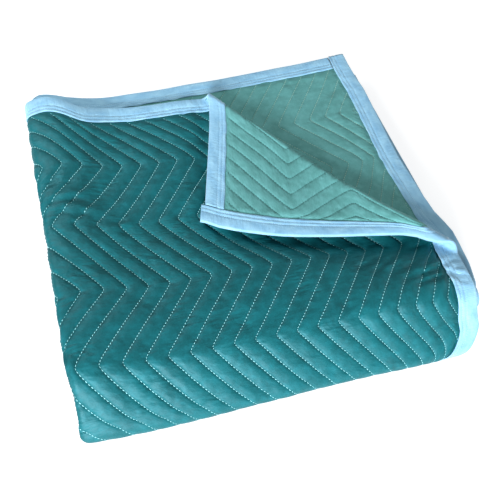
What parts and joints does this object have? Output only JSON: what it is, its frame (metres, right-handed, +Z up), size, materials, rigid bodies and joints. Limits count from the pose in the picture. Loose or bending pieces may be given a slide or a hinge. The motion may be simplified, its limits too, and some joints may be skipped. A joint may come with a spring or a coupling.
{
  "type": "folded quilted moving blanket",
  "caption": "Quilted padded moving blanket with a bound edge, folded into a square pile with one corner turned back.",
  "frame": {"origin": "centre of the bounding box, on the surface that the pile rests on", "axes": "+Z up; -Y towards the wide front bend; -X towards the long fold on the left"},
  "size_m": [0.5194, 0.5303, 0.0863],
  "materials": {
    "quilted_cloth": "soft matt needle-punched cotton blend, teal outside and grey green inside, sewn in zigzags with pale thread",
    "binding_tape": "pale blue woven tape with a slight sheen, sewn down with two rows of stitches"
  },
  "bodies": {
    "root": {"quilted_panel": "quilted_cloth", "binding_upper_edge": "binding_tape", "binding_lower_edge": "binding_tape", "binding_rear_end": "binding_tape", "binding_far_end": "binding_tape"}
  },
  "joints": []
}
